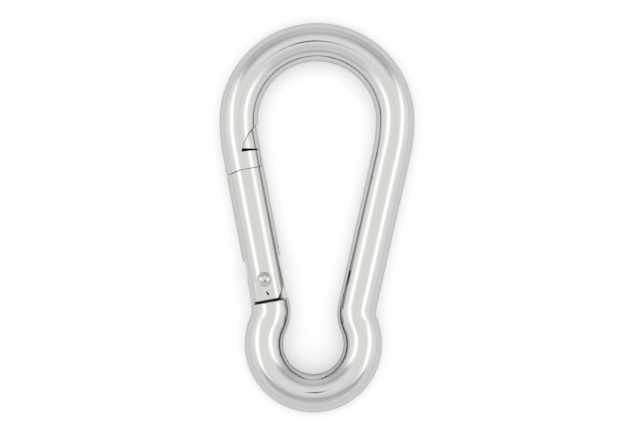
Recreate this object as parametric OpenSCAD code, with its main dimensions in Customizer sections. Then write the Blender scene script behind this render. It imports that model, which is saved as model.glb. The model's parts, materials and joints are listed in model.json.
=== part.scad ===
// Pear-shaped snap hook bent from round bar, with a sprung gate.
// It lies flat: Z is up, the small eye points to -Y and the wide bow to +Y.
// The gate is the middle of the leg on the -X side.
// The origin lies under the middle of the outline, on the surface the hook rests on.
// Gate coordinates: p runs from the gate's axis towards the inside of the hook,
// u runs from the hinge's height up the gate, and the bar's middle plane is at height zero.

/* [Bar] */
// Diameter of the round bar
bar_d = 9.8; // [8:0.1:11]

/* [Outline] */
// Length over the bow and the small eye
overall_l = 100; // [96:0.5:120]
// Width over the bow
bow_w = 50; // [48:0.5:56]
// Width over the small eye
eye_w = 35.2; // [33:0.1:38]
// Lean of each leg towards the small eye
leg_lean = 11.7; // [10:0.1:12.5]
// Centreline radius of the shallow bend between the bow and each leg
side_bend_r = 41.7; // [35:0.1:50]
// Centreline radius of the tight bend between each leg and the small eye
neck_bend_r = 6.5; // [5.8:0.1:7.5]

/* [Gate] */
// Distance from the neck bend up to the hinge's height
hinge_rise = 7.3; // [7:0.1:10]
// Distance from the gate's axis out to the hinge axis
hinge_out = 0.25; // [0:0.05:0.5]
// Distance from the hinge's height up to the joint under the nose
gate_l = 28.65; // [26:0.05:29]
// Gap in the joint under the nose
joint_gap = 0.2; // [0.1:0.05:0.4]
// Slope of the outer part of the joint
joint_slope = 12.3; // [10.5:0.1:15]
// Distance from the gate's axis out to where the joint starts to slope
joint_flat_reach = 1.3; // [0:0.1:2]
// Angle that the gate opens inwards
open_angle = 32; // [15:1:34]

/* [Latch] */
// Distance from the gate's axis in to the tip of the hammer head
head_tip_p = 0.45; // [0.2:0.05:1]
// Height of the hammer head's tip over the joint
head_tip_rise = 5.25; // [4.5:0.05:6]
// Height of the hammer head's crown over the joint
head_crown_rise = 10.35; // [9.5:0.05:11]
// Radius of the hammer head's rounded back
head_back_r = 13; // [11:0.5:16]
// Slope of the hammer head's underside
head_slope = 7.7; // [5:0.1:9]
// Gap behind the hammer head
head_gap = 0.2; // [0.1:0.05:0.4]
// Gap between the hammer head and the ledge that catches it
ledge_gap = 0.6; // [0.4:0.05:0.9]
// Radius on the ledge's inner corner
ledge_round = 0.7; // [0.3:0.1:1]
// Thickness of the web that carries the hammer head
web_t = 4.4; // [3.5:0.1:5]
// Gap at each side of the web
web_gap = 0.15; // [0.1:0.05:0.3]

/* [Hinge] */
// Thickness of the tongue inside the gate's fork
tongue_t = 4.4; // [3.8:0.1:5]
// Gap at each side of the tongue
tongue_gap = 0.1; // [0.05:0.05:0.3]
// Height of the tongue over the hinge, and the radius of its outer corner
tongue_r = 3.9; // [3.6:0.1:4.2]
// Distance from the gate's axis out to the tongue's outer edge
tongue_out = 4.7; // [4.3:0.05:4.8]
// Distance from the gate's axis in to the tongue's inner edge
tongue_in = 4.35; // [4.1:0.05:4.8]
// Radius of the tongue's inner corner, which lifts the plunger
cam_r = 2.8; // [2.4:0.1:3.2]
// Gap between the swung tongue and the roof of the fork
roof_gap = 0.45; // [0.3:0.05:1]
// Distance from the hinge's height down to the end of the fork's cheeks
cheek_end = 5.25; // [5:0.05:6]
// Distance from the gate's axis at the hinge to the slant cut on the cheeks
cheek_cut = 4.85; // [4.6:0.05:5.2]
// Angle of the slant cut on the cheeks
cheek_cut_angle = 32; // [28:1:36]
// Gap between the swinging cheeks and the body's shoulder
swing_gap = 0.1; // [0.1:0.01:0.4]
// Depth of the flats on the cheeks
flat_depth = 0.8; // [0.6:0.05:1]
// Gap around the rivet head on each flat
spotface_gap = 0.15; // [0.1:0.05:0.8]

/* [Rivet] */
// Diameter of the rivet's shank
rivet_d = 2.4; // [2:0.1:2.8]
// Diameter of the rivet's heads
rivet_head_d = 3.6; // [3.2:0.1:4]
// Height of the rivet's heads
rivet_head_h = 0.55; // [0.3:0.05:0.6]
// Running clearance around the shank in the tongue
rivet_gap = 0.05; // [0.02:0.01:0.1]

/* [Spring] */
// Diameter of the bore in the gate
bore_d = 3.7; // [3.4:0.1:4]
// Length of the bore above the fork
bore_l = 17; // [15:0.5:19]
// Gap around the spring and around the plunger
bore_gap = 0.12; // [0.08:0.01:0.2]
// Diameter of the spring wire
wire_d = 0.6; // [0.5:0.05:0.7]
// Number of turns in the spring
spring_turns = 9; // [7:1:11]
// Length of the plunger
plunger_l = 5; // [4:0.5:6]
// Gap at each end of the plunger and the spring
seat_gap = 0.05; // [0.02:0.01:0.1]

/* [Hidden] */
$fn = 96;

bar_r = bar_d / 2;

// Reach of a cutter that goes right through, and how far a cutter or a piece runs past its end
far = 3 * bar_d;
overlap = 1;

// Bent outline, on the bar's centreline
bow_r = bow_w / 2 - bar_r;
eye_r = eye_w / 2 - bar_r;
bow_y = (overall_l - bow_w) / 2;
eye_y = (eye_w - overall_l) / 2;
leg_offset = side_bend_r - (side_bend_r - bow_r) * cos(leg_lean);
neck_turn = acos((leg_offset + neck_bend_r - (bow_y - eye_y) * sin(leg_lean)) / (eye_r + neck_bend_r));
eye_rise = neck_turn - leg_lean;
neck_x = (eye_r + neck_bend_r) * cos(eye_rise);
neck_y = eye_y + (eye_r + neck_bend_r) * sin(eye_rise);

// Origin of the gate coordinates on the straight leg at the -X side, and the hinge axis in them
leg_foot = [neck_bend_r * cos(leg_lean) - neck_x, neck_y + neck_bend_r * sin(leg_lean)];
leg_up = [-sin(leg_lean), cos(leg_lean)];
gate_origin = leg_foot + hinge_rise * leg_up;
hinge = [-hinge_out, 0];

// Hammer head and its ledge
head_tip = [head_tip_p, gate_l + head_tip_rise];
head_crown = [bar_r, gate_l + head_crown_rise];
head_centre = arc_centre(head_tip, head_crown, head_back_r);
head_heel = [bar_r, head_tip[1] - (bar_r - head_tip_p) * tan(head_slope)];
ledge_r = norm(head_heel - hinge) - ledge_gap;
ledge_corner = [bar_r, sqrt(pow(ledge_r, 2) - pow(bar_r + hinge_out, 2))];

// Fork, tongue and shoulder. The tongue sinks into the bar and lies just inside its surface.
tongue_sink = 2;
tongue_inset = 0.05;
cheek_corner = (cheek_cut - cheek_end * sin(cheek_cut_angle)) / cos(cheek_cut_angle);
shoulder = norm([cheek_corner, -cheek_end] - hinge) + swing_gap;
fork_w = tongue_t + 2 * tongue_gap;
cam = [tongue_in - cam_r, tongue_r - cam_r];
cam_arm = cam[0] + hinge_out;
fork_roof = tongue_r + cam_arm * sin(open_angle) + roof_gap;

// Bore, plunger and spring, from the tongue upwards
bore_top = fork_roof + bore_l;
plunger_d = bore_d - 2 * bore_gap;
plunger_foot = tongue_r + seat_gap;
plunger_top = plunger_foot + plunger_l;
spring_foot = plunger_top + seat_gap;
spring_l = bore_top - seat_gap - spring_foot;
coil_r = bore_d / 2 - bore_gap - wire_d / 2;
end_turns = 1;
end_coil_gap = 0.06;
end_pitch = wire_d + end_coil_gap;
turn_steps = 16;
wire_sides = 6;

// Rings of the bent bar: points in one ring, and how far a flat may lie from the true bend
bar_sides = 32;
bend_tolerance = 0.03;

// Small pit on the upper flat, between the rivet and the end of the cheeks
pit_d = 0.4;
pit_l = 0.7;
pit_depth = 0.2;
pit_at = [-0.1, -3.75];
pit_turn = 23;

// Centre of the arc of radius r that runs from a to b, on the right of that line
function arc_centre(a, b, r) =
    let (chord = b - a, half = norm(chord) / 2, side = [chord[1], -chord[0]] / norm(chord))
    (a + b) / 2 + side * sqrt(r * r - half * half);

// Place of a ring on the bar's centreline: x, y and the direction of the hook's outside
function ring_place(centre, r, outside) =
    [centre[0] + r * cos(outside), centre[1] + r * sin(outside), outside];

// Rings round a bend. A bend that is hollow towards the outside has a negative radius.
// A bend that follows another one starts after the ring they share.
function bend_rings(centre, r, from, to, first) =
    let (
        step = 2 * acos(1 - bend_tolerance / (abs(r) + bar_r)),
        steps = 2 * ceil(abs(to - from) / step / 2)
    )
    [for (i = [first : steps]) ring_place(centre, r, from + (to - from) * i / steps)];

// Ring on the gate's axis at height u
function gate_ring(u) =
    [gate_origin[0] + u * leg_up[0], gate_origin[1] + u * leg_up[1], 180 + leg_lean];

// Points round the bar at one place
function bar_ring(place) = [
    for (side = [0 : bar_sides - 1])
        let (around = 360 * side / bar_sides, out = bar_r * cos(around))
        [
            place[0] + out * cos(place[2]),
            place[1] + out * sin(place[2]),
            bar_r - bar_r * sin(around)
        ]
];

// Triangles that join rings of points into a closed tube
function tube_faces(rings, sides) = [
    for (ring = [0 : rings - 2], side = [0 : sides - 1])
        let (
            a = ring * sides + side,
            b = ring * sides + (side + 1) % sides
        )
        each [[a, b, b + sides], [a, b + sides, a + sides]],
    [for (side = [sides - 1 : -1 : 0]) side],
    [for (side = [0 : sides - 1]) (rings - 1) * sides + side]
];

// Height of the wire's centre after a number of turns: close coiled ends, open between
function wire_height(turn) =
    let (
        open_turns = spring_turns - 2 * end_turns,
        open_pitch = (spring_l - wire_d - 2 * end_turns * end_pitch) / open_turns,
        first = min(turn, end_turns),
        last = max(0, turn - spring_turns + end_turns)
    )
    wire_d / 2 + (first + last) * end_pitch + (turn - first - last) * open_pitch;

// One ring of points round the wire
function wire_ring(turn) = [
    for (side = [0 : wire_sides - 1])
        let (
            around = 360 * side / wire_sides,
            out = coil_r + wire_d / 2 * cos(around),
            up = wire_height(turn) + wire_d / 2 * sin(around)
        )
        [out * cos(360 * turn), out * sin(360 * turn), up]
];

// Puts children drawn in gate coordinates in their place
module on_gate() {
    translate([gate_origin[0], gate_origin[1], bar_r])
        rotate([0, 0, leg_lean])
            children();
}

// Round bar or bore along the gate's axis
module round_u(from, to, d) {
    translate([0, from, 0])
        rotate([-90, 0, 0])
            cylinder(h = to - from, d = d);
}

// Plate of thickness t about the middle plane, over a rectangle of p and u
module block_pu(low, high, t) {
    translate([low[0], low[1], -t / 2])
        cube([high[0] - low[0], high[1] - low[1], t]);
}

// Disc of radius r about a place in p and u
module disc_pu(at, r, t) {
    translate([at[0], at[1], 0])
        cylinder(h = t, r = r, center = true);
}

// Everything above or below the joint's line, moved up the gate
module joint_side(up, above) {
    outer_drop = (bar_d - joint_flat_reach) * tan(joint_slope);
    outline = [
        [-bar_d, gate_l - outer_drop],
        [-joint_flat_reach, gate_l],
        [bar_d, gate_l],
        [bar_d, above ? gate_l + far : 0],
        [-bar_d, above ? gate_l + far : 0]
    ];
    translate([0, up, -far / 2])
        linear_extrude(far)
            polygon(outline);
}

// Bar bent in one piece, from under the nose over the bow and round the eye to the shoulder
module bent_bar() {
    side_x = side_bend_r - bow_r;
    path = [
        gate_ring(gate_l - bar_r),
        each bend_rings([side_x, bow_y], side_bend_r, 180 + leg_lean, 180, 0),
        each bend_rings([0, bow_y], bow_r, 180, 0, 1),
        each bend_rings([-side_x, bow_y], side_bend_r, 0, -leg_lean, 1),
        each bend_rings([neck_x, neck_y], -neck_bend_r, -leg_lean, eye_rise, 0),
        each bend_rings([0, eye_y], eye_r, eye_rise, -180 - eye_rise, 1),
        each bend_rings([-neck_x, neck_y], -neck_bend_r, -180 - eye_rise, leg_lean - 180, 1),
        gate_ring(-shoulder)
    ];
    points = [for (place = path) each bar_ring(place)];
    polyhedron(points, tube_faces(len(path), bar_sides));
}

// Slot for the web and cross notch for the hammer head, cut by one cutter
module latch_recess() {
    intersection() {
        disc_pu(head_centre, head_back_r + head_gap, far);
        union() {
            block_pu([-bar_r, gate_l / 2], [far, head_tip[1]], web_t + 2 * web_gap);
            difference() {
                block_pu([-bar_r, ledge_r - bar_r], [far, head_crown[1] + bar_r], far);
                disc_pu(hinge, ledge_r, far + overlap);
            }
        }
    }
    ledge_corner_cut();
}

// Rounds the ledge's inner corner
module ledge_corner_cut() {
    round_at = ledge_corner - [ledge_round, ledge_round];
    difference() {
        block_pu(round_at, ledge_corner + [overlap, overlap], far);
        disc_pu(round_at, ledge_round, far + overlap);
    }
}

// Tongue between the gate's cheeks: its inner corner is the cam that lifts the plunger
module tongue() {
    outer = [tongue_r - tongue_out, 0];
    difference() {
        intersection() {
            round_u(-shoulder - tongue_sink, tongue_r, bar_d - 2 * tongue_inset);
            union() {
                block_pu([-tongue_out, -shoulder - tongue_sink], [tongue_in, 0], tongue_t);
                block_pu([0, 0], [tongue_in, cam[1]], tongue_t);
                block_pu(outer, [cam[0], tongue_r], tongue_t);
                disc_pu(outer, tongue_r, tongue_t);
                disc_pu(cam, cam_r, tongue_t);
            }
        }
        disc_pu(hinge, rivet_d / 2 + rivet_gap, far);
    }
}

module body() {
    color([0.83, 0.84, 0.85]) {
        difference() {
            bent_bar();
            on_gate() {
                joint_side(joint_gap, false);
                latch_recess();
            }
        }
        on_gate()
            tongue();
    }
}

// Hammer head: a rounded back over a sloping underside
module hammer_head() {
    intersection() {
        disc_pu(head_centre, head_back_r, bar_d);
        translate([head_tip[0], head_tip[1], 0])
            rotate([0, 0, -head_slope])
                block_pu([-bar_d, 0], [far, far], far);
    }
}

// Web between the gate's top and the hammer head
module web() {
    intersection() {
        disc_pu(head_centre, head_back_r, web_t);
        block_pu([-bar_d, gate_l - overlap], [bar_r, head_tip[1] + overlap], web_t);
    }
}

// Slot for the tongue, through the gate's lower end
module fork_slot() {
    block_pu([-far, -far], [far, fork_roof], fork_w);
}

// Slant cut that lets the cheeks swing past the shoulder
module cheek_slant() {
    rotate([0, 0, -cheek_cut_angle])
        block_pu([cheek_cut, -far], [far, far], far);
}

// Flat on one cheek, from the spotface round the rivet down to the end
module cheek_flat() {
    spotface_r = rivet_head_d / 2 + spotface_gap;
    translate([hinge[0], 0, bar_r - flat_depth]) {
        cylinder(h = bar_d, r = spotface_r);
        translate([-bar_d, -far, 0])
            cube([2 * bar_d, far, bar_d]);
    }
}

// Small oblong pit in the upper flat
module pit() {
    translate([pit_at[0], pit_at[1], bar_r - flat_depth - pit_depth])
        rotate([0, 0, pit_turn]) {
            translate([-pit_d / 2, -pit_l / 2, 0])
                cube([pit_d, pit_l, bar_d]);
            for (end = [-1, 1])
                translate([0, end * pit_l / 2, 0])
                    cylinder(h = bar_d, d = pit_d);
        }
}

module gate() {
    color([0.86, 0.86, 0.86])
        on_gate()
            difference() {
                union() {
                    difference() {
                        round_u(-cheek_end, gate_l + overlap, bar_d);
                        joint_side(0, true);
                    }
                    intersection() {
                        round_u(gate_l - overlap, head_crown[1] + overlap, bar_d);
                        union() {
                            web();
                            hammer_head();
                        }
                    }
                }
                fork_slot();
                cheek_slant();
                cheek_flat();
                mirror([0, 0, 1])
                    cheek_flat();
                pit();
                disc_pu(hinge, rivet_d / 2, far);
                round_u(fork_roof - overlap, bore_top, bore_d);
            }
}

// Domed rivet head on the upper cheek
module rivet_head() {
    dome_r = (pow(rivet_head_d / 2, 2) + pow(rivet_head_h, 2)) / (2 * rivet_head_h);
    seat = bar_r - flat_depth;
    intersection() {
        translate([0, 0, seat + rivet_head_h - dome_r])
            sphere(r = dome_r);
        translate([0, 0, seat])
            cylinder(h = rivet_head_h, d = rivet_head_d);
    }
}

module hinge_rivet() {
    color([0.72, 0.73, 0.74])
        on_gate()
            translate(hinge) {
                cylinder(h = bar_d - 2 * flat_depth, d = rivet_d, center = true);
                rivet_head();
                mirror([0, 0, 1])
                    rivet_head();
            }
}

module spring() {
    rings = spring_turns * turn_steps + 1;
    points = [for (step = [0 : rings - 1]) each wire_ring(step / turn_steps)];
    color([0.62, 0.63, 0.64])
        on_gate()
            translate([0, spring_foot, 0])
                rotate([-90, 0, 0])
                    polyhedron(points, tube_faces(rings, wire_sides));
}

module plunger() {
    color([0.7, 0.7, 0.71])
        on_gate()
            round_u(plunger_foot, plunger_top, plunger_d);
}

body();
gate();
hinge_rivet();
spring();
plunger();
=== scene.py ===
# %% [markdown]
# # A polished steel snap hook
#
# This lesson dresses a pear-shaped snap hook: a round bar bent into one loop, closed by a
# sprung gate that turns on a rivet. The CAD model gives every piece its place and size.
# Its bar has flat facets, which a mirror finish would show at once, so the pieces that
# can be seen are modelled again here with finer rounds and softly broken edges.

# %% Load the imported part
import json
import math

import bpy
from mathutils import Matrix, Vector


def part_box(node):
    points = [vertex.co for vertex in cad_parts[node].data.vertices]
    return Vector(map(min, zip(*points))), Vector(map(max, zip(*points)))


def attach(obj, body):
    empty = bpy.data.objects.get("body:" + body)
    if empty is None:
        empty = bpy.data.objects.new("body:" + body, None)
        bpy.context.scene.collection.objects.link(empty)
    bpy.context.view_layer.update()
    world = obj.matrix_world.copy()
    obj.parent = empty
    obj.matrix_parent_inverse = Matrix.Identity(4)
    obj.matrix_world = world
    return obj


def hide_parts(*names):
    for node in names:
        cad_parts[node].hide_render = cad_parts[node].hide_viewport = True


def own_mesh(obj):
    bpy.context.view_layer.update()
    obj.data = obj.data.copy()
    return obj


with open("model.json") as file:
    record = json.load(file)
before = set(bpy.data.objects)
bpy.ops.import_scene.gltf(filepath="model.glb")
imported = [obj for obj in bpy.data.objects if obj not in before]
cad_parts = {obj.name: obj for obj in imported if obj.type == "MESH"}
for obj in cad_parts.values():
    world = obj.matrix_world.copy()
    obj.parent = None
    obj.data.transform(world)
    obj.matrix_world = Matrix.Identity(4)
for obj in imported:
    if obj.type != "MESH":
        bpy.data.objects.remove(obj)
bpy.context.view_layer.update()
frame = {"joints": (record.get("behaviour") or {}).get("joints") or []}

# %% [markdown]
# ## Sizes
#
# The frame already knows the outline: its box gives the length, the width and the bar's
# thickness, and the hinge joint gives the pivot. The other sizes are the hook's own
# driving dimensions. Everything is modelled in millimetres, because the details are a
# tenth of a millimetre wide, and each finished piece is brought to metres at the end.

# %% Sizes in millimetres
MM = 0.001
body_low, body_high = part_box("body")
bar_d = (body_high.z - body_low.z) / MM
bar_r = bar_d / 2
overall_l = (body_high.y - body_low.y) / MM
bow_w = (body_high.x - body_low.x) / MM
eye_w = 35.2
leg_lean = math.radians(11.7)
side_bend_r = 41.7
neck_bend_r = 6.5
hinge_out = 0.25
gate_l = 28.65
print(f"bar {bar_d:.2f}, length {overall_l:.2f}, width {bow_w:.2f}")

# %% Outline of the bent bar
bow_r = bow_w / 2 - bar_r
eye_r = eye_w / 2 - bar_r
bow_y = (overall_l - bow_w) / 2
eye_y = (eye_w - overall_l) / 2
leg_offset = side_bend_r - (side_bend_r - bow_r) * math.cos(leg_lean)
neck_reach = leg_offset + neck_bend_r - (bow_y - eye_y) * math.sin(leg_lean)
eye_rise = math.acos(neck_reach / (eye_r + neck_bend_r)) - leg_lean
neck_x = (eye_r + neck_bend_r) * math.cos(eye_rise)
neck_y = eye_y + (eye_r + neck_bend_r) * math.sin(eye_rise)

# %% [markdown]
# ## Gate coordinates
#
# The gate leans with its leg. A place on it is given by p, from the gate's axis towards
# the inside of the hook, by u, from the hinge's height up the gate, and by the height
# over the bar's middle plane. The hinge joint of the frame anchors these coordinates.

# %% Gate coordinates
across_gate = Vector((math.cos(leg_lean), math.sin(leg_lean), 0))
up_gate = Vector((-math.sin(leg_lean), math.cos(leg_lean), 0))
hinge_joint = next(joint for joint in frame["joints"] if joint["type"] == "hinge")
hinge_place = Vector(hinge_joint["pos_m"]) / MM
gate_origin = hinge_place + hinge_out * across_gate


def at_gate(p, u, height=0):
    """Place in gate coordinates, as a place in the frame."""
    return gate_origin + p * across_gate + u * up_gate + Vector((0, 0, height))


print("Gate starts at", [round(value, 3) for value in gate_origin])

# %% [markdown]
# ## Small helpers
#
# An operator works on whatever is selected, and loading the frame leaves its nodes
# selected. So every step starts by picking the one object that it works on.

# %% Pick, apply and cut
def pick(piece):
    """Makes one object the only selected one, and the active one."""
    bpy.ops.object.select_all(action="DESELECT")
    piece.select_set(True)
    bpy.context.view_layer.objects.active = piece


def settled(name):
    """Names the primitive just added, and moves its place and turn into its mesh."""
    piece = bpy.context.view_layer.objects.active
    piece.name = name
    pick(piece)
    bpy.ops.object.transform_apply(location=True, rotation=True, scale=True)
    return piece


def combine(piece, tool, operation):
    """Cuts, joins or intersects a piece with a tool, and removes the tool."""
    modifier = piece.modifiers.new(operation.lower(), "BOOLEAN")
    modifier.operation = operation
    modifier.object = tool
    modifier.solver = "EXACT"
    pick(piece)
    bpy.ops.object.modifier_apply(modifier=modifier.name)
    bpy.data.objects.remove(tool)
    return piece


# %% [markdown]
# ## Blanks
#
# Most features of the hook are turned or milled, so a few blanks are enough: a round bar
# along the gate, a plate, and a disc that lies in the hook's plane.

# %% Round bar, plate and disc
TURN_UP_GATE = (math.pi / 2, 0, leg_lean)
bar_sides = 180
disc_sides = 360
hole_sides = 64


def round_along_gate(name, low, high, radius, sides=bar_sides):
    """Cylinder on the gate's axis, from one height to another."""
    bpy.ops.mesh.primitive_cylinder_add(
        vertices=sides,
        radius=radius,
        depth=high - low,
        location=at_gate(0, (low + high) / 2),
        rotation=TURN_UP_GATE,
    )
    return settled(name)


def plate(name, low, high, bottom, top, turn=0, pivot=(0, 0), tilt=0):
    """Block over a rectangle of p and u, turned clockwise about a pivot in p and u."""
    centre = Vector(((low[0] + high[0]) / 2, (low[1] + high[1]) / 2, 0))
    offset = Matrix.Rotation(-turn, 3, "Z") @ centre
    bpy.ops.mesh.primitive_cube_add(
        size=1,
        location=at_gate(pivot[0] + offset.x, pivot[1] + offset.y, (bottom + top) / 2),
        rotation=(0, tilt, leg_lean - turn),
        scale=(high[0] - low[0], high[1] - low[1], top - bottom),
    )
    return settled(name)


def disc(name, place, radius, bottom, top, sides=disc_sides):
    """Cylinder that stands on the hook's plane, at a place in p and u."""
    bpy.ops.mesh.primitive_cylinder_add(
        vertices=sides,
        radius=radius,
        depth=top - bottom,
        location=at_gate(place[0], place[1], (bottom + top) / 2),
    )
    return settled(name)


# %% [markdown]
# ## The bent bar
#
# The real body starts as a straight round bar that is bent over formers. A curve with a
# round bevel could give the same form, but spinning one ring of points about each
# former's centre keeps every bend a true arc. The bar starts below its joint with the
# gate, runs over the bow, down the right leg and round the small eye to the hinge. There
# its last ring shrinks over a quarter round, as the turned shoulder under the gate does.

# %% Bending the bar
longest_step = math.radians(3)
hinge = (-hinge_out, 0)
cheek_end = 5.25
cheek_cut = 4.85
open_angle = math.radians(32)
swing_gap = 0.1
shoulder_round = 0.3
round_steps = 4
point_weld = 0.001
cheek_corner = (cheek_cut - cheek_end * math.sin(open_angle)) / math.cos(open_angle)
shoulder = math.hypot(cheek_corner + hinge_out, cheek_end) + swing_gap


def bend(centre, angle):
    """Spins the selected ring about an upright axis. A positive angle turns left."""
    bpy.ops.mesh.spin(
        steps=2 * math.ceil(abs(angle) / longest_step / 2),
        angle=angle,
        center=(centre[0], centre[1], bar_r),
        axis=(0, 0, -1),
    )


def straight(move):
    """Extrudes the selected ring along a straight stretch."""
    bpy.ops.mesh.extrude_region_move(TRANSFORM_OT_translate={"value": move})


def round_over(place, radius):
    """Closes the bar's end over a quarter round, from a ring about this place."""
    reach = bar_r
    rise = 0
    for step in range(1, round_steps + 1):
        angle = math.pi / 2 * step / round_steps
        next_reach = bar_r - radius * (1 - math.cos(angle))
        next_rise = radius * math.sin(angle)
        straight(up_gate * (next_rise - rise))
        factor = next_reach / reach
        centre = place + up_gate * next_rise
        bpy.ops.transform.resize(value=(factor, factor, factor), center_override=centre)
        reach = next_reach
        rise = next_rise


def on_bend(centre, radius, side):
    """Place where a bend of this radius meets the right or the left leaning leg."""
    out = Vector((side * math.cos(leg_lean), -math.sin(leg_lean), 0))
    return Vector((centre[0], centre[1], bar_r)) + radius * out


side_x = side_bend_r - bow_r
nose_start = gate_l - bar_r
side_start = on_bend((side_x, bow_y), side_bend_r, -1)
side_start_u = (side_start - gate_origin).dot(up_gate)
neck_start = on_bend((neck_x, neck_y), -neck_bend_r, 1)
neck_end_u = (Vector((-neck_start.x, neck_start.y, bar_r)) - gate_origin).dot(up_gate)
right_leg_start = Vector((-side_start.x, side_start.y, bar_r))

bpy.ops.object.select_all(action="DESELECT")
bpy.ops.mesh.primitive_circle_add(
    vertices=bar_sides,
    radius=bar_r,
    location=at_gate(0, nose_start),
    rotation=TURN_UP_GATE,
)
bar = settled("polished_bar")
bpy.ops.object.mode_set(mode="EDIT")
bpy.ops.mesh.select_all(action="SELECT")
straight(up_gate * (side_start_u - nose_start))
bend((side_x, bow_y), -leg_lean)
bend((0, bow_y), -math.pi)
bend((-side_x, bow_y), -leg_lean)
straight(neck_start - right_leg_start)
bend((neck_x, neck_y), leg_lean + eye_rise)
bend((0, eye_y), -math.pi - 2 * eye_rise)
bend((-neck_x, neck_y), leg_lean + eye_rise)
straight(up_gate * (-shoulder - shoulder_round - neck_end_u))
round_over(at_gate(0, -shoulder - shoulder_round), shoulder_round)
bpy.ops.mesh.select_all(action="SELECT")
bpy.ops.mesh.remove_doubles(threshold=point_weld)
bpy.ops.mesh.fill_holes(sides=0)
bpy.ops.mesh.select_all(action="SELECT")
bpy.ops.mesh.normals_make_consistent(inside=False)
bpy.ops.object.mode_set(mode="OBJECT")
print("Bar points:", len(bar.data.vertices))

# %% [markdown]
# The last ring of the straight stretch lies almost in the latch's ledge, where it would
# leave splinters when the ledge is cut. The bar is straight enough there to lose it.

# %% Dissolve one ring
bpy.ops.object.mode_set(mode="EDIT")
bpy.ops.mesh.select_mode(type="VERT")
bpy.ops.mesh.select_all(action="DESELECT")
bpy.ops.object.mode_set(mode="OBJECT")
near = 0.01
for point in bar.data.vertices:
    from_start = point.co - side_start
    point.select = abs(from_start.dot(up_gate)) < near and abs(from_start.dot(across_gate)) < 2 * bar_r
bpy.ops.object.mode_set(mode="EDIT")
bpy.ops.mesh.select_mode(type="EDGE")
bpy.ops.mesh.dissolve_edges(use_verts=True)
bpy.ops.object.mode_set(mode="OBJECT")
print("Bar points left:", len(bar.data.vertices))

# %% [markdown]
# ## The latch in the nose
#
# The nose is cut off under the joint, first straight across and then on a slope. A slot
# takes the gate's web, and a cross notch takes the hammer head. The notch's upper wall
# follows the head's rounded back. Its lower wall, the ledge, is an arc about the hinge,
# so the head can swing out past it but can't be pulled straight up. The joint's sloped
# part opens a little towards the outside, and the notch's gap closes towards the tip.

# %% Joint under the nose
PAST = 1
joint_low = -0.15
joint_high = -0.05
joint_slope = math.radians(12.3)
joint_opening = math.radians(4.5)
joint_flat_reach = 1.43


def joint_cutter(name, up, slope_angle, above):
    """Everything above or below the joint's line, moved up the gate."""
    low_u = gate_l + up
    corner = (-joint_flat_reach, low_u)
    if above:
        flat = plate(name, (-bar_d, low_u), (bar_d, low_u + 2 * bar_d), -bar_d, bar_d)
        slope = plate("slope", (-bar_d, 0), (bar_d, bar_d), -bar_d, bar_d, -slope_angle, corner)
        return combine(flat, slope, "UNION")
    flat = plate(name, (-bar_d, low_u - 2 * bar_d), (bar_d, low_u), -bar_d, bar_d)
    slope = plate("slope", (-2 * bar_d, -3 * bar_d), (2 * bar_d, 0), -bar_d, bar_d, -slope_angle, corner)
    return combine(flat, slope, "INTERSECT")


combine(bar, joint_cutter("joint", joint_high, joint_slope, False), "DIFFERENCE")
print("Bar faces after the joint:", len(bar.data.polygons))

# %% Hammer head's arcs
head_tip = (0.45, gate_l + 5.25)
head_crown = (bar_r, gate_l + 10.35)
head_back_r = 13
head_slope = math.radians(7.7)
heel_slope = leg_lean
head_gap = 0.2
tip_gap = 0.03
ledge_gap = 0.6
ledge_round = 0.7
ledge_round_sides = 96
web_t = 4.4
web_gap = 0.15

tip = Vector(head_tip)
chord = Vector(head_crown) - tip
chord_side = Vector((chord.y, -chord.x)) / chord.length
head_centre = tip + chord / 2 + chord_side * math.sqrt(head_back_r**2 - chord.length_squared / 4)
heel_drop = (bar_r - head_tip[0]) * math.tan(head_slope)
ledge_r = math.hypot(bar_r + hinge_out, head_tip[1] - heel_drop) - ledge_gap
ledge_corner = (bar_r, math.sqrt(ledge_r**2 - (bar_r + hinge_out) ** 2))
print(f"Ledge {ledge_r:.2f} mm from the hinge")

# %% Slot and cross notch
slot_half = web_t / 2 + web_gap
slot = plate("slot", (-bar_r, gate_l / 2), (bar_d, head_tip[1]), -slot_half, slot_half)
notch = plate("notch", (-bar_r, ledge_r - bar_r), (bar_d, head_crown[1] + bar_r), -bar_d, bar_d)
combine(notch, disc("ledge", hinge, ledge_r, -2 * bar_d, 2 * bar_d, 2 * disc_sides), "DIFFERENCE")
combine(slot, notch, "UNION")
tip_way = (tip - head_centre).normalized()
crown_way = (Vector(head_crown) - head_centre).normalized()
closing = (head_gap - tip_gap) / (1 - tip_way.dot(crown_way)) / 2
notch_centre = head_centre + closing * (crown_way - tip_way)
notch_r = head_back_r + (head_gap + tip_gap) / 2
combine(slot, disc("head_back", notch_centre, notch_r, -2 * bar_d, 2 * bar_d), "INTERSECT")

round_at = (ledge_corner[0] - ledge_round, ledge_corner[1] - ledge_round)
past_corner = (ledge_corner[0] + PAST, ledge_corner[1] + PAST)
corner_cut = plate("corner_cut", round_at, past_corner, -bar_d, bar_d)
corner_round = disc("corner_round", round_at, ledge_round, -2 * bar_d, 2 * bar_d, ledge_round_sides)
combine(corner_cut, corner_round, "DIFFERENCE")
combine(bar, slot, "DIFFERENCE")
combine(bar, corner_cut, "DIFFERENCE")
print("Bar faces after the latch:", len(bar.data.polygons))

# %% [markdown]
# ## The tongue
#
# The bar's lower end is milled to a tongue that fits between the gate's cheeks. One upper
# corner is rounded so that the gate can swing, and the other is the cam that lifts the
# spring's plunger. A plate with two bevelled edges gives both corners.

# %% Tongue
tongue_t = 4.4
tongue_gap = 0.1
tongue_r = 3.9
tongue_out = 4.7
tongue_in = 4.35
cam_r = 2.8
tongue_sink = 2
tongue_inset = 0.05
rivet_d = 2.4
rivet_gap = 0.05
corner_steps = 20


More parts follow.
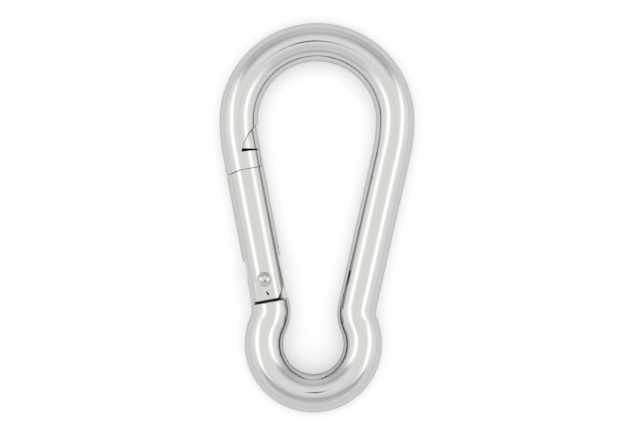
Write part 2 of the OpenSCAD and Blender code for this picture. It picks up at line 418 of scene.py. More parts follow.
def round_edge(piece, place, radius):
    """Rounds the upright edge of a piece at a place in p and u."""
    edge_at = at_gate(*place)
    points = piece.data.vertices
    for edge in piece.data.edges:
        middle = (points[edge.vertices[0]].co + points[edge.vertices[1]].co) / 2
        edge.select = (middle - edge_at).length < near
    bpy.ops.object.mode_set(mode="EDIT")
    bpy.ops.mesh.select_mode(type="EDGE")
    bpy.ops.mesh.bevel(offset=radius, segments=corner_steps, affect="EDGES")
    bpy.ops.mesh.select_all(action="DESELECT")
    bpy.ops.object.mode_set(mode="OBJECT")


tongue_foot = -shoulder - tongue_sink
tongue = plate("tongue", (-tongue_out, tongue_foot), (tongue_in, tongue_r), -tongue_t / 2, tongue_t / 2)
pick(tongue)
bpy.ops.object.mode_set(mode="EDIT")
bpy.ops.mesh.select_all(action="DESELECT")
bpy.ops.object.mode_set(mode="OBJECT")
round_edge(tongue, (-tongue_out, tongue_r), tongue_r)
round_edge(tongue, (tongue_in, tongue_r), cam_r)
tongue_round = round_along_gate("bar_round", tongue_foot, tongue_r + PAST, bar_r - tongue_inset)
combine(tongue, tongue_round, "INTERSECT")
combine(tongue, disc("hole", hinge, rivet_d / 2 + rivet_gap, -bar_r, bar_r, hole_sides), "DIFFERENCE")
combine(bar, tongue, "UNION")
print("Bar faces with the tongue:", len(bar.data.polygons))

# %% [markdown]
# ## The gate
#
# The gate is a second length of the same bar. Above the joint's line all of it is cut
# away but the narrow web and the hammer head. Its lower end is a fork with a cheek on
# each side of the tongue, flats for the rivet heads, and a bore for the spring. Cutting
# one bar with blocks and discs follows the machining, so every edge lies where a cutter
# would leave it. The flats are tilted a little and so fade out towards the inside.

# %% Gate bar and hammer head
cheek_spare = 0.1
bar_top = head_crown[1] + PAST
gate = round_along_gate("polished_gate", -cheek_end - cheek_spare, bar_top, bar_r)
head = plate("head", (-bar_d, 0), (3 * bar_d, 3 * bar_d), -bar_d, bar_d, heel_slope, head_tip)
web_top = head_tip[1] + PAST
web_foot = gate_l - 3 * PAST
combine(head, plate("web", (-bar_d, web_foot), (bar_d, web_top), -web_t / 2, web_t / 2), "UNION")
combine(head, disc("head_back", head_centre, head_back_r, -2 * bar_d, 2 * bar_d), "INTERSECT")
waste = joint_cutter("waste", joint_low, joint_slope + joint_opening, True)
combine(waste, head, "DIFFERENCE")
combine(gate, waste, "DIFFERENCE")
print("Gate faces with the head:", len(gate.data.polygons))

# %% Fork, flats and bore
fork_w = tongue_t + 2 * tongue_gap
roof_gap = 0.45
flat_depth = 0.8
flat_tilt = math.radians(8)
flat_edge = 2.9
rivet_head_d = 3.36
rivet_head_h = 0.55
spotface_gap = 0.08
spotface_r = rivet_head_d / 2 + spotface_gap
spotface_sides = 128
bore_d = 3.7
bore_l = 17
cam_arm = tongue_in - cam_r + hinge_out
fork_roof = tongue_r + cam_arm * math.sin(open_angle) + roof_gap
flat_z = bar_r - flat_depth
fork_foot = -2 * bar_d

fork = plate("fork", (-bar_d, fork_foot), (bar_d, fork_roof), -fork_w / 2, fork_w / 2)
combine(gate, fork, "DIFFERENCE")
slant = plate("slant", (cheek_cut, -bar_d), (3 * bar_d, bar_d), -bar_d, bar_d, open_angle)
combine(gate, slant, "DIFFERENCE")
flat_middle = math.sqrt(bar_r**2 - flat_edge**2) + flat_edge * math.tan(flat_tilt)
flat_centre = flat_middle + bar_r / math.cos(flat_tilt)
for side in (-1, 1):
    low_z, high_z = side * flat_centre - bar_r, side * flat_centre + bar_r
    flat = plate("flat", (-bar_d, fork_foot), (bar_d, 0), low_z, high_z, tilt=-side * flat_tilt)
    spot_low, spot_high = sorted((side * flat_z, side * bar_d))
    combine(flat, disc("spotface", hinge, spotface_r, spot_low, spot_high, spotface_sides), "UNION")
    combine(gate, flat, "DIFFERENCE")
combine(gate, disc("hole", hinge, rivet_d / 2, -bar_d, bar_d, hole_sides), "DIFFERENCE")
bore = round_along_gate("bore", fork_roof - PAST, fork_roof + bore_l, bore_d / 2, hole_sides)
combine(gate, bore, "DIFFERENCE")
print("Gate faces with the fork:", len(gate.data.polygons))

# %% [markdown]
# A short slanted pit marks the upper flat under the rivet. It is real depth, cut with a
# thin block between two small discs, and its milled floor takes painted shade, so it stays
# dark from every side.

# %% Pit in the upper flat
pit_d = 0.4
pit_l = 0.7
pit_depth = 0.2
pit_sides = 32
pit_at = (-0.1, -3.75)
pit_turn = math.radians(23)
pit_z = flat_z - pit_depth
pit_tip = Vector((math.sin(-pit_turn), math.cos(pit_turn))) * pit_l / 2
pit_low = (-pit_d / 2, -pit_l / 2)
pit_high = (pit_d / 2, pit_l / 2)
pit = plate("pit", pit_low, pit_high, pit_z, bar_r, -pit_turn, pit_at)
for side in (-1, 1):
    end_at = (pit_at[0] + side * pit_tip.x, pit_at[1] + side * pit_tip.y)
    combine(pit, disc("pit_end", end_at, pit_d / 2, pit_z, bar_r, pit_sides), "UNION")
combine(gate, pit, "DIFFERENCE")
print("Gate faces with the pit:", len(gate.data.polygons))

# %% [markdown]
# ## Polished, milled and sawn faces
#
# Only the round outside and the cheeks' flats meet the polishing wheel. The tongue's
# sides are milled, and the narrow cuts are sawn, with a dark colour that paints the shade
# in the gaps. Painting faces by hand would go wrong at each change of size, so each face
# gets one of three finishes by where it lies, measured from the bar's own centre line.

# %% Sort the faces
POLISHED, SAWN, MILLED = range(3)
FINISHES = (POLISHED, SAWN, MILLED)
cut_depth = 0.12
level_normal = 0.999
facing = 0.9
leaning = 0.7
cut_low = tongue_foot - PAST
cut_high = bar_top


def off_axis(place, bent):
    """Distance of a place from the centre line of the gate, or of the bent nose above it."""
    from_gate = place - gate_origin
    aside = from_gate.dot(across_gate)
    if bent and from_gate.dot(up_gate) > side_start_u:
        aside = math.hypot(place.x - side_x, place.y - bow_y) - side_bend_r
    return math.hypot(aside, place.z - bar_r)


def sort_faces(piece, bent):
    """Gives each face of the bar or the gate its finish, by where it lies."""
    for face in piece.data.polygons:
        from_gate = face.center - gate_origin
        aside = from_gate.dot(across_gate)
        along = from_gate.dot(up_gate)
        height = abs(from_gate.z)
        inside = abs(aside) < bar_r + PAST and cut_low < along < cut_high
        if not inside or off_axis(face.center, bent) > bar_r - cut_depth:
            face.material_index = POLISHED
        elif height > flat_z - cut_depth and along < fork_roof and abs(face.normal.z) < level_normal:
            face.material_index = POLISHED
        elif abs(face.normal.z) > facing and along < fork_roof:
            face.material_index = MILLED
        elif face.normal.dot(across_gate) > leaning and along < 0:
            face.material_index = MILLED
        # Narrow cuts take the sawn finish, whose dark colour paints their shade.
        else:
            face.material_index = SAWN


for piece, bent in ((bar, True), (gate, False)):
    for finish in FINISHES:
        piece.data.materials.append(None)
    sort_faces(piece, bent)
    counts = [sum(face.material_index == finish for face in piece.data.polygons) for finish in FINISHES]
    print(piece.name, "polished, sawn and milled faces:", counts)

# %% [markdown]
# ## Broken edges
#
# No polished edge is sharp: the wheel always rounds it a little, and that rounding is
# what catches the light. A bevel a tenth of a millimetre wide gives it here, and weighted
# normals keep the faces beside it looking true.

# %% Break the edges and smooth
edge_break = 0.07
edge_steps = 2
edge_weld = 0.01
thin_edge = 0.005
sharp_from = math.radians(24)
smooth_below = math.radians(40)


def break_edges(piece, width):
    """Rounds the sharp edges of a finished piece, and shades the rest smooth."""
    pick(piece)
    bpy.ops.object.mode_set(mode="EDIT")
    bpy.ops.mesh.select_all(action="SELECT")
    bpy.ops.mesh.remove_doubles(threshold=edge_weld)
    bpy.ops.mesh.dissolve_degenerate(threshold=thin_edge)
    bpy.ops.mesh.normals_make_consistent(inside=False)
    bpy.ops.object.mode_set(mode="OBJECT")
    bevel = piece.modifiers.new("broken_edges", "BEVEL")
    bevel.width = width
    bevel.segments = edge_steps
    bevel.limit_method = "ANGLE"
    bevel.angle_limit = sharp_from
    bevel.use_clamp_overlap = False
    bevel.miter_outer = "MITER_ARC"
    bpy.ops.object.modifier_apply(modifier=bevel.name)
    bpy.ops.object.shade_smooth_by_angle(angle=smooth_below)
    weighted = piece.modifiers.new("true_faces", "WEIGHTED_NORMAL")
    weighted.keep_sharp = True
    bpy.ops.object.modifier_apply(modifier=weighted.name)


break_edges(bar, edge_break)
break_edges(gate, edge_break)
print("Faces:", len(bar.data.polygons), len(gate.data.polygons))

# %% [markdown]
# ## Rivet
#
# The rivet is one turned pin whose ends are pressed to low domes inside a thin rim. Insets
# that climb by less each time make the dome a true cap, where a sphere would need a cut
# and leave a seam.

# %% Rivet
rivet_sides = 96
dome_rings = 12
rim_h = 0.1
dome_foot_r = 1.4
rivet_break = 0.03
dome_h = rivet_head_h - rim_h
dome_r = (dome_foot_r**2 + dome_h**2) / (2 * dome_h)


def choose_end(piece, side):
    """Selects the one face at the lowest or highest end of a piece that stands upright."""
    pick(piece)
    bpy.ops.object.mode_set(mode="EDIT")
    bpy.ops.mesh.select_mode(type="FACE")
    bpy.ops.mesh.select_all(action="DESELECT")
    bpy.ops.object.mode_set(mode="OBJECT")
    heights = [side * face.center.z for face in piece.data.polygons]
    piece.data.polygons[heights.index(max(heights))].select = True
    bpy.ops.object.mode_set(mode="EDIT")


bpy.ops.object.select_all(action="DESELECT")
bpy.ops.mesh.primitive_cylinder_add(
    vertices=rivet_sides, radius=rivet_d / 2, depth=2 * flat_z, location=at_gate(*hinge)
)
rivet = settled("domed_rivet")
widen = rivet_head_d / rivet_d
for side in (-1, 1):
    choose_end(rivet, side)
    bpy.ops.mesh.extrude_region_move()
    bpy.ops.transform.resize(value=(widen, widen, 1), center_override=at_gate(*hinge, side * flat_z))
    bpy.ops.mesh.extrude_region_move(TRANSFORM_OT_translate={"value": (0, 0, side * rim_h)})
    bpy.ops.mesh.inset(thickness=rivet_head_d / 2 - dome_foot_r, depth=0)
    reach = dome_foot_r
    height = 0
    for ring in range(dome_rings):
        next_reach = dome_foot_r * (1 - (ring + 1) / (dome_rings + 1))
        next_height = math.sqrt(dome_r**2 - next_reach**2) - (dome_r - dome_h)
        bpy.ops.mesh.inset(thickness=reach - next_reach, depth=next_height - height)
        reach = next_reach
        height = next_height
    bpy.ops.object.mode_set(mode="OBJECT")
print("Rivet height:", round(rivet.dimensions.z, 3))
break_edges(rivet, rivet_break)

# %% [markdown]
# The pressing tool left a small mark off the dome's middle. It is cut after the edges are
# broken, so that its own rim stays crisp.

# %% Dent in the rivet
dent_r = 0.17
dent_sides = 24
dent_shift = (0.08, -0.45)
dent_at = (hinge[0] + dent_shift[0], hinge[1] + dent_shift[1])
dent_foot = flat_z + rim_h
combine(rivet, disc("dent", dent_at, dent_r, dent_foot, bar_d, dent_sides), "DIFFERENCE")
for finish in (POLISHED, SAWN):
    rivet.data.materials.append(None)
# The dent's floor takes the dark sawn finish with its painted shade, which keeps the mark dark.
for face in rivet.data.polygons:
    in_dent = (face.center - at_gate(*dent_at)).xy.length < dent_r + near
    face.material_index = SAWN if in_dent and face.center.z > bar_r + dent_foot - near else POLISHED
pick(rivet)
bpy.ops.object.shade_smooth_by_angle(angle=smooth_below)
print("Rivet faces:", len(rivet.data.polygons))

# %% [markdown]
# ## Plunger and spring
#
# The plunger is a short ground pin with broken ends, which rests on the tongue's cam
# corner. The spring above it is wound from drawn wire: one ring of points screwed round
# the gate's axis makes the coil, with no joints between its turns.

# %% Plunger
seat_gap = 0.05
bore_gap = 0.12
plunger_l = 5
plunger_break = 0.3
plunger_foot = tongue_r + seat_gap
plunger_r = bore_d / 2 - bore_gap
plunger = round_along_gate("ground_plunger", plunger_foot, plunger_foot + plunger_l, plunger_r)
break_edges(plunger, plunger_break)
print("Plunger box:", [round(value, 3) for value in plunger.dimensions])

# %% Spring
wire_d = 0.6
wire_sides = 16
spring_turns = 9
steps_per_turn = 48
spring_foot = plunger_foot + plunger_l + seat_gap
spring_l = fork_roof + bore_l - seat_gap - spring_foot
coil_r = plunger_r - wire_d / 2
bpy.ops.object.select_all(action="DESELECT")
bpy.ops.mesh.primitive_circle_add(
    vertices=wire_sides,
    radius=wire_d / 2,
    location=(coil_r, 0, wire_d / 2),
    rotation=(math.pi / 2, 0, 0),
)
spring = settled("coiled_spring")
coil = spring.modifiers.new("coil", "SCREW")
coil.axis = "Z"
coil.angle = 2 * math.pi * spring_turns
coil.screw_offset = spring_l - wire_d
coil.steps = steps_per_turn * spring_turns
coil.render_steps = coil.steps
bpy.ops.object.modifier_apply(modifier=coil.name)
bpy.ops.object.mode_set(mode="EDIT")
bpy.ops.mesh.select_all(action="SELECT")
bpy.ops.mesh.remove_doubles(threshold=point_weld)
bpy.ops.mesh.fill_holes(sides=0)
bpy.ops.mesh.select_all(action="SELECT")
bpy.ops.mesh.normals_make_consistent(inside=False)
bpy.ops.object.mode_set(mode="OBJECT")
spring.rotation_euler = (-math.pi / 2, 0, leg_lean)
spring.location = at_gate(0, spring_foot)
pick(spring)
bpy.ops.object.transform_apply(location=True, rotation=True, scale=True)
bpy.ops.object.shade_smooth_by_angle(angle=smooth_below)
print("Spring box:", [round(value, 3) for value in spring.dimensions])

# %% [markdown]
# ## Into the frame
#
# Each finished piece is brought from millimetres to metres, takes the place of its CAD
# node, and rides on the body that the node moves with.

# %% Metres and bodies
places = [
    (bar, "body", "hook", "bar"),
    (gate, "gate", "gate", "gate"),
    (rivet, "hinge_rivet", "gate", "rivet"),
    (spring, "spring", "gate", "spring"),
    (plunger, "plunger", "plunger", "plunger"),
]
for piece, node, rides_on, slot_name in places:
    piece.scale = (MM, MM, MM)
    pick(piece)
    bpy.ops.object.transform_apply(location=True, rotation=True, scale=True)
    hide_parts(node)
    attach(piece, rides_on)
    print(piece.name, [round(value / MM, 3) for value in piece.dimensions])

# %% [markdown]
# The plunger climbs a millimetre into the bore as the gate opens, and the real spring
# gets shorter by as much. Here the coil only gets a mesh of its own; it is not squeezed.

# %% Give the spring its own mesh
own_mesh(spring)

# %% [markdown]
# ## Finishes
#
# All pieces are stainless steel, and they differ in how they were worked, while the cut
# faces also take painted shade. Image maps would blur up close, so waves and grain come
# from noise in millimetres. Every colour is an sRGB hex value that one function turns to
# linear, and one function adds a node.

# %% Colour and node helpers
def linear(hex_colour):
    """An sRGB hex colour as the linear RGBA that shaders use."""
    values = [int(hex_colour[start:start + 2], 16) / 255 for start in (1, 3, 5)]
    bright = [((value + 0.055) / 1.055) ** 2.4 for value in values]
    dark = [value / 12.92 for value in values]
    return [low if value <= 0.04045 else high for value, low, high in zip(values, dark, bright)] + [1]


def add_node(tree, kind, settings=None, **sockets):
    """Adds a node, sets its properties, and fills its sockets with values or links."""
    node = tree.nodes.new(kind)
    for name, value in (settings or {}).items():
        setattr(node, name, value)
    for name, value in sockets.items():
        place = int(name[1:]) if name[1:].isdigit() else name.replace("_", " ")
        if isinstance(value, bpy.types.NodeSocket):
            tree.links.new(value, node.inputs[place])
        else:
            node.inputs[place].default_value = value
    return node


def new_material(name):
    """An empty material with an output, and its tree."""
    material = bpy.data.materials.new(name)
    material.use_nodes = True
    material.node_tree.nodes.clear()
    return material, material.node_tree


# %% [markdown]
# ## Worked steel
#
# Polishing leaves slow waves a few millimetres long, which bend the reflections a little,
# and a fine grain that softens them. Cut faces are rougher, and painted shade darkens
# their colour where little light gets in. Each finish gives the eye something of its own:
# - polished_stainless: the bar's bright, almost clear reflections
# - polished_gate_stainless: the same polish, a trace darker and livelier on the gate
# - sawn_steel_painted_shade: dull faces in the narrow cuts, whose dark colour and painted shade make the
#   gaps read as gaps
# - milled_steel_painted_shade: a paler satin on the tongue, between the polish and the dark cuts, with
#   painted shade in its hollows
# - pressed_rivet_steel: a softer shine that tells the rivet from the gate
# - drawn_spring_wire and ground_plunger_steel: greyer metal inside the bore

# %% Steel
EDGE_TINT = "#E8E8E8"
SHEEN_SPREAD = 0.2
# Painted shade in deep cuts: how far the occlusion looks, where the shade is full and where it is gone, its
# darkest level and its samples.
CUT_SHADE_REACH = 2.6 * MM
CUT_SHADE_FULL = 0.45
CUT_SHADE_GONE = 0.66
CUT_SHADE_LEVEL = 0.03
CUT_SHADE_SAMPLES = 16


def steel(name, colour, roughness, wave_mm, wave_height_mm, grain_mm, grain_height_mm, painted_cut_shade=False):
    """Stainless steel with slow waves, a fine grain and, if wanted, painted shade in deep cuts."""
    material, tree = new_material(name)
    place = add_node(tree, "ShaderNodeTexCoord").outputs["Object"]
    waves = add_node(tree, "ShaderNodeTexNoise", Vector=place, Scale=1 / (wave_mm * MM), Detail=1.0)
    grain = add_node(tree, "ShaderNodeTexNoise", Vector=place, Scale=1 / (grain_mm * MM), Detail=3.0)
    slow = add_node(
        tree, "ShaderNodeBump", Height=waves.outputs["Fac"], Strength=1.0, Distance=wave_height_mm * MM
    )
    fine = add_node(
        tree,
        "ShaderNodeBump",
        Height=grain.outputs["Fac"],
        Strength=1.0,
        Distance=grain_height_mm * MM,
        Normal=slow.outputs["Normal"],
    )
    sheen = add_node(
        tree,
        "ShaderNodeMapRange",
        Value=grain.outputs["Fac"],
        To_Min=roughness * (1 - SHEEN_SPREAD),
        To_Max=roughness * (1 + SHEEN_SPREAD),
    )
    tone = linear(colour)
    # Painted shade: ambient occlusion darkens the colour in deep, narrow cuts.
    if painted_cut_shade:
        sampling = {"samples": CUT_SHADE_SAMPLES}
        depth = add_node(tree, "ShaderNodeAmbientOcclusion", sampling, Distance=CUT_SHADE_REACH)
        unshaded_share = add_node(
            tree,
            "ShaderNodeMapRange",
            Value=depth.outputs["AO"],
            From_Min=CUT_SHADE_FULL,
            From_Max=CUT_SHADE_GONE,
            To_Min=CUT_SHADE_LEVEL,
        )
        scaled = add_node(
            tree,
            "ShaderNodeVectorMath",
            {"operation": "SCALE"},
            _0=tone[:3],
            Scale=unshaded_share.outputs["Result"],
        )
        tone = scaled.outputs["Vector"]
    shader = add_node(
        tree,
        "ShaderNodeBsdfPrincipled",
        Base_Color=tone,
        Metallic=1.0,
        Specular_Tint=linear(EDGE_TINT),
        Roughness=sheen.outputs["Result"],
        Normal=fine.outputs["Normal"],
    )
    add_node(tree, "ShaderNodeOutputMaterial", Surface=shader.outputs["BSDF"])
    return material


# After the colour and the roughness come the waves' length and height, and the grain's, in mm.
# The sawn colour is darkened to paint the shade in the narrow cuts.
sawn = steel("sawn_steel_painted_shade", "#8C8C8A", 0.5, 3, 0.005, 0.15, 0.01, True)
milled = steel("milled_steel_painted_shade", "#DEDEDC", 0.3, 3, 0.005, 0.15, 0.003, True)
finishes = [
    (bar, [steel("polished_stainless", "#D7D7D5", 0.08, 5, 0.008, 0.4, 0.0003), sawn, milled]),
    (gate, [steel("polished_gate_stainless", "#D5D5D2", 0.08, 5, 0.008, 0.4, 0.0004), sawn, milled]),
    (rivet, [steel("pressed_rivet_steel", "#D2D2D0", 0.12, 1.2, 0.006, 0.2, 0.0008), sawn]),
    (spring, [steel("drawn_spring_wire", "#B4B3B0", 0.22, 1.5, 0.005, 0.1, 0.002)]),
    (plunger, [steel("ground_plunger_steel", "#BDBDBA", 0.18, 1.5, 0.005, 0.1, 0.002)]),
]
for piece, materials in finishes:
    chosen = [face.material_index for face in piece.data.polygons]
    piece.data.materials.clear()
    for material in materials:
        piece.data.materials.append(material)
    for face, finish in zip(piece.data.polygons, chosen):
        face.material_index = finish
    print(piece.name, "is", [material.name for material in materials])

# %% [markdown]
# ## Room and light
#
# A mirror shows its surroundings, so most of this finish is in the room. The hook lies in
# a white tent: a bright ceiling, dimmer end walls, and one long lit strip high on each
# side that draws the two white lines along the bar. The tent is painted in the world,
# for reflections only, and the floor is lit by plain white.

# %% World
# The ceiling and walls go by direction alone, so the tent looks the same from every piece.
world = bpy.data.worlds.new("white_tent")
bpy.context.scene.world = world
world.use_nodes = True
sky = world.node_tree
sky.nodes.clear()


def fill_ramp(node, stops):
    """Sets a colour ramp's stops, each a place from 0 to 1 and a grey or a colour."""
    elements = node.color_ramp.elements
    while len(elements) < len(stops):
        elements.new(0.5)
    for element, (place, level) in zip(elements, stops):
        element.position = place
        element.color = level if isinstance(level, (tuple, list)) else (level, level, level, 1)
    return node.outputs["Color"]


LOWEST_SLOPE = 0.05
way = add_node(sky, "ShaderNodeTexCoord").outputs["Generated"]
axes = add_node(sky, "ShaderNodeSeparateXYZ", Vector=way)
sideways = add_node(sky, "ShaderNodeMath", {"operation": "ABSOLUTE"}, _0=axes.outputs["X"])
level_way = add_node(sky, "ShaderNodeCombineXYZ", X=sideways.outputs["Value"], Y=axes.outputs["Y"])
above = add_node(sky, "ShaderNodeMath", {"operation": "MAXIMUM"}, _0=axes.outputs["Z"], _1=LOWEST_SLOPE)
spread = add_node(sky, "ShaderNodeMath", {"operation": "DIVIDE"}, _0=1.0, _1=above.outputs["Value"])
ceiling = add_node(
    sky,
    "ShaderNodeVectorMath",
    {"operation": "SCALE"},
    _0=level_way.outputs["Vector"],
    Scale=spread.outputs["Value"],
)
bearing = add_node(sky, "ShaderNodeVectorMath", {"operation": "NORMALIZE"}, _0=level_way.outputs["Vector"])
bearing_axes = add_node(sky, "ShaderNodeSeparateXYZ", Vector=bearing.outputs["Vector"])
ceiling_axes = add_node(sky, "ShaderNodeSeparateXYZ", Vector=ceiling.outputs["Vector"])

# The walls' grey goes from the hook's eye, at 0, round to its bow, at 1.
wall_stops = [(0.0, 0.86), (0.25, 0.90), (0.5, 0.99), (0.70, 0.97), (0.82, 0.66), (0.93, 0.66), (1.0, 0.76)]
wall_at = add_node(sky, "ShaderNodeMapRange", Value=bearing_axes.outputs["Y"], From_Min=-1.0, From_Max=1.0)
wall_ramp = add_node(sky, "ShaderNodeValToRGB", Fac=wall_at.outputs["Result"])
wall_level = fill_ramp(wall_ramp, wall_stops)

# The dip goes from level, at 0, to straight above, at 1, and dims a band over halfway up.
dip_stops = [(0.0, 0.85), (0.05, 1.0), (0.2, 1.02), (0.4, 1.0), (0.53, 0.88), (0.66, 0.88), (0.75, 1.0)]
dip_ramp = add_node(sky, "ShaderNodeValToRGB", Fac=axes.outputs["Z"])
dip_level = fill_ramp(dip_ramp, dip_stops)
dimmed = add_node(sky, "ShaderNodeVectorMath", {"operation": "MULTIPLY"}, _0=wall_level, _1=dip_level)

# The ceiling takes over from the walls high up, and is a little dimmer towards the eye.
ceiling_stops = [(0.66, 0.0), (0.90, 1.0)]
front_at = add_node(
    sky, "ShaderNodeMapRange", Value=ceiling_axes.outputs["Y"], From_Min=-0.45, From_Max=-0.08, To_Min=0.8
)
ceiling_ramp = add_node(sky, "ShaderNodeValToRGB", Fac=axes.outputs["Z"])
ceiling_share = fill_ramp(ceiling_ramp, ceiling_stops)
tent = add_node(
    sky,
    "ShaderNodeMix",
    {"data_type": "RGBA"},
    _0=ceiling_share,
    _6=dimmed.outputs["Vector"],
    _7=front_at.outputs["Result"],
)

# The greys are a little bluer the darker they are.
tint_stops = [(0.0, 0.0), (0.62, (0.608, 0.62, 0.648, 1)), (1.0, (1.0, 1.0, 0.995, 1))]
tint_ramp = add_node(sky, "ShaderNodeValToRGB", Fac=tent.outputs[2])
tint_colour = fill_ramp(tint_ramp, tint_stops)

# The lit strip runs slantwise on the ceiling, bright in its middle and fading at its edges.
STRIP_TURN = math.radians(-47.8)
STRIP_LEVEL = 0.62
turned = add_node(sky, "ShaderNodeMapping", Vector=ceiling.outputs["Vector"], Rotation=(0, 0, STRIP_TURN))
turned_axes = add_node(sky, "ShaderNodeSeparateXYZ", Vector=turned.outputs["Vector"])
along_stops = [(0.10, 0.0), (0.19, 1.0), (0.40, 1.0), (0.55, 0.6), (0.75, 0.0)]
along_at = add_node(sky, "ShaderNodeMapRange", Value=turned_axes.outputs["X"], From_Min=-0.5, From_Max=3.5)
along_ramp = add_node(sky, "ShaderNodeValToRGB", Fac=along_at.outputs["Result"])
along_level = fill_ramp(along_ramp, along_stops)
lit_stops = [(0.13, 0.0), (0.19, 0.5), (0.25, 1.0), (0.30, 1.0)]
fading_stops = [(0.37, 0.72), (0.46, 0.45), (0.6, 0.2), (0.9, 0.0)]
across_at = add_node(sky, "ShaderNodeMapRange", Value=turned_axes.outputs["Y"], From_Min=0.0, From_Max=-2.5)
across_ramp = add_node(sky, "ShaderNodeValToRGB", Fac=across_at.outputs["Result"])
across_level = fill_ramp(across_ramp, lit_stops + fading_stops)
glow = add_node(sky, "ShaderNodeMath", {"operation": "MULTIPLY"}, _0=along_level, _1=across_level)
strip = add_node(sky, "ShaderNodeMath", {"operation": "MULTIPLY"}, _0=glow.outputs["Value"], _1=STRIP_LEVEL)

tent_light = add_node(sky, "ShaderNodeBackground", Color=tint_colour)
strip_light = add_node(sky, "ShaderNodeBackground", Color=(1, 1, 1, 1), Strength=strip.outputs["Value"])
room = add_node(
    sky, "ShaderNodeAddShader", _0=tent_light.outputs["Background"], _1=strip_light.outputs["Background"]
)
ray = add_node(sky, "ShaderNodeLightPath")
overhead = add_node(sky, "ShaderNodeMapRange", Value=axes.outputs["Z"], To_Min=0.3, To_Max=1.35)
plain = add_node(
    sky,
    "ShaderNodeMix",
    {"data_type": "FLOAT"},
    _0=ray.outputs["Is Camera Ray"],
    _2=overhead.outputs["Result"],
    _3=1.0,
)
plain_light = add_node(sky, "ShaderNodeBackground", Color=(1, 1, 1, 1), Strength=plain.outputs[0])
sky_mix = add_node(
    sky,
    "ShaderNodeMixShader",
    _0=ray.outputs["Is Glossy Ray"],
    _1=plain_light.outputs["Background"],
    _2=room.outputs["Shader"],
)
add_node(sky, "ShaderNodeOutputWorld", Surface=sky_mix.outputs["Shader"])
print("World nodes:", len(sky.nodes))


# %% [markdown]
# ## Cards
#
# The tent has an opening straight above, which draws a thin dark line over the bow and
# under the eye, and a dim front panel below the eye. Both are seen in reflections only,
# so they take no light from the floor.

# %% Cards
COOL = 1.03
oval_sides = 64


def staged(name, size, turn=0):
    """Sizes and turns the flat shape just added, which is the studio's and not the hook's."""
    piece = bpy.context.view_layer.objects.active
    piece.scale = (size[0], size[1], 1)
    piece.rotation_euler.z = turn
    settled(name)
    return piece


def sheet_of(name, centre, size):
    """A flat sheet of the studio."""
    bpy.ops.object.select_all(action="DESELECT")
    bpy.ops.mesh.primitive_plane_add(size=1, location=centre)
    return staged(name, size)


def oval_of(name, centre, size, turn):
    """A flat oval of the studio."""
    bpy.ops.object.select_all(action="DESELECT")
    bpy.ops.mesh.primitive_circle_add(
        vertices=oval_sides, radius=0.5, fill_type="NGON", location=centre
    )
    return staged(name, size, turn)


def glossy_only(name, level):
    """A grey that only reflections see."""
    material, tree = new_material(name)
    path = add_node(tree, "ShaderNodeLightPath")
    grey = add_node(tree, "ShaderNodeEmission", Color=(level, level, level * COOL, 1), Strength=1.0)
    clear = add_node(tree, "ShaderNodeBsdfTransparent")
    chosen_view = add_node(
        tree,
        "ShaderNodeMixShader",
        _0=path.outputs["Is Glossy Ray"],
        _1=clear.outputs["BSDF"],
        _2=grey.outputs["Emission"],
    )
    add_node(tree, "ShaderNodeOutputMaterial", Surface=chosen_view.outputs["Shader"])
    return material


opening_at = (-0.03, 0.31, 3)
opening_size = (0.13, 0.44)
opening_turn = math.radians(8)
opening_level = 0.01
front_card_at = (0, -0.132, 0.115)
front_card_size = (0.28, 0.07)
front_card_level = 0.62
opening_grey = glossy_only("dark_tent_opening", opening_level)
opening = oval_of("tent_opening", opening_at, opening_size, opening_turn)
opening.data.materials.append(opening_grey)
front_card = sheet_of("tent_front", front_card_at, front_card_size)
front_card.data.materials.append(glossy_only("dim_tent_front", front_card_level))
print("Cards:", opening.name, front_card.name)

# %% [markdown]
# ## Floor
#
# The hook lies on white paper. Seen directly the paper is lifted to white, and it keeps
# the hook's soft shadow. Seen in the steel it is a little greyer, with painted shade where
# the hook rests on it, and that draws the dark line along the inner side. Under the hook
# itself a painted shade takes the lift away again, so the open gaps don't glow.

# %% Floor
floor_size = (4, 4)
floor_sampling = {"samples": 8}
foot_shade_reach = 16 * MM
gap_shade_reach = 2 * MM
grey_from = 50 * MM
grey_to = 140 * MM
floor = sheet_of("floor", (0, 0, 0), floor_size)
floor_material, floor_tree = new_material("white_floor")
path = add_node(floor_tree, "ShaderNodeLightPath")
floor_place = add_node(floor_tree, "ShaderNodeTexCoord").outputs["Object"]
away = add_node(floor_tree, "ShaderNodeVectorMath", {"operation": "LENGTH"}, _0=floor_place)
distance = away.outputs["Value"]
far = add_node(floor_tree, "ShaderNodeMapRange", Value=distance, From_Min=grey_from, From_Max=grey_to)
mirrored = add_node(
    floor_tree,
    "ShaderNodeMix",
    {"data_type": "RGBA"},
    _0=far.outputs["Result"],
    _6=linear("#D6D6D6"),
    _7=linear("#C4C5C7"),
)
# Painted shade: seen in the steel, the paper darkens where the hook hides its sky.
open_sky = add_node(floor_tree, "ShaderNodeAmbientOcclusion", floor_sampling, Distance=foot_shade_reach)
painted_foot_shade = add_node(
    floor_tree, "ShaderNodeMapRange", Value=open_sky.outputs["AO"], From_Min=0.3, From_Max=0.6, To_Min=0.03
)
mirrored_with_shade = add_node(
    floor_tree,
    "ShaderNodeVectorMath",
    {"operation": "SCALE"},
    _0=mirrored.outputs[2],
    Scale=painted_foot_shade.outputs["Result"],
)
paper = add_node(
    floor_tree,
    "ShaderNodeMix",
    {"data_type": "RGBA"},
    _0=path.outputs["Is Glossy Ray"],
    _6=linear("#F2F2F2"),
    _7=mirrored_with_shade.outputs["Vector"],
)
matt = add_node(floor_tree, "ShaderNodeBsdfDiffuse", Color=paper.outputs[2])
through = add_node(
    floor_tree,
    "ShaderNodeMath",
    {"operation": "ADD"},
    _0=path.outputs["Is Camera Ray"],
    _1=path.outputs["Is Transmission Ray"],
)
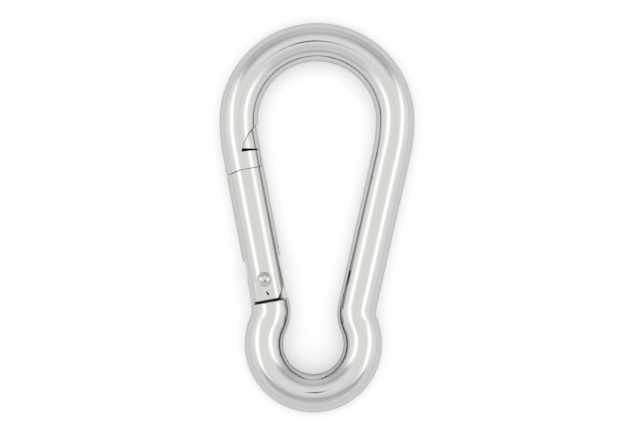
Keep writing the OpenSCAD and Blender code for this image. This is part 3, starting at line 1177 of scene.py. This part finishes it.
seen = add_node(
    floor_tree,
    "ShaderNodeMath",
    {"operation": "ADD", "use_clamp": True},
    _0=through.outputs["Value"],
    _1=path.outputs["Is Glossy Ray"],
)
# Painted shade: under the hook, the lift fades where the hook hides the sky close by.
close_sky = add_node(floor_tree, "ShaderNodeAmbientOcclusion", floor_sampling, Distance=gap_shade_reach)
painted_gap_shade = add_node(
    floor_tree, "ShaderNodeMapRange", Value=close_sky.outputs["AO"], From_Min=0.4, From_Max=0.9
)
shade = add_node(
    floor_tree,
    "ShaderNodeMix",
    {"data_type": "FLOAT"},
    _0=path.outputs["Is Glossy Ray"],
    _2=painted_gap_shade.outputs["Result"],
    _3=painted_foot_shade.outputs["Result"],
)
lift = add_node(floor_tree, "ShaderNodeMapRange", Value=seen.outputs["Value"], To_Min=0.05, To_Max=0.25)
lifted = add_node(
    floor_tree, "ShaderNodeMath", {"operation": "MULTIPLY"}, _0=lift.outputs["Result"], _1=shade.outputs[0]
)
white = add_node(floor_tree, "ShaderNodeEmission", Color=(1, 1, 1, 1), Strength=lifted.outputs["Value"])
sheet = add_node(floor_tree, "ShaderNodeAddShader", _0=matt.outputs["BSDF"], _1=white.outputs["Emission"])
add_node(floor_tree, "ShaderNodeOutputMaterial", Surface=sheet.outputs["Shader"])
floor.data.materials.append(floor_material)
print("Floor nodes:", len(floor_tree.nodes))

# %% [markdown]
# ## Camera
#
# The camera looks straight down from far away, as in a catalogue, and is turned by about
# one degree. Its distance, turn and aim place the hook in the frame.

# %% Camera
camera_distance = 1.2
frame_width = 164.3 * MM
sensor = 36
camera_turn = math.radians(0.948)
aim_right = 1.183 * MM
aim_up = -0.439 * MM
right = Vector((math.cos(camera_turn), math.sin(camera_turn), 0))
up = Vector((-math.sin(camera_turn), math.cos(camera_turn), 0))
aim = aim_right * right + aim_up * up
bpy.ops.object.camera_add(
    location=(aim.x, aim.y, bar_r * MM + camera_distance),
    rotation=(0, 0, camera_turn),
)
camera = bpy.context.view_layer.objects.active
camera.data.sensor_width = sensor
camera.data.lens = sensor * camera_distance / frame_width
bpy.context.scene.camera = camera
bpy.context.scene.view_settings.view_transform = "Standard"
print(f"Lens {camera.data.lens:.1f} mm, turned {math.degrees(camera_turn):.2f} degrees")
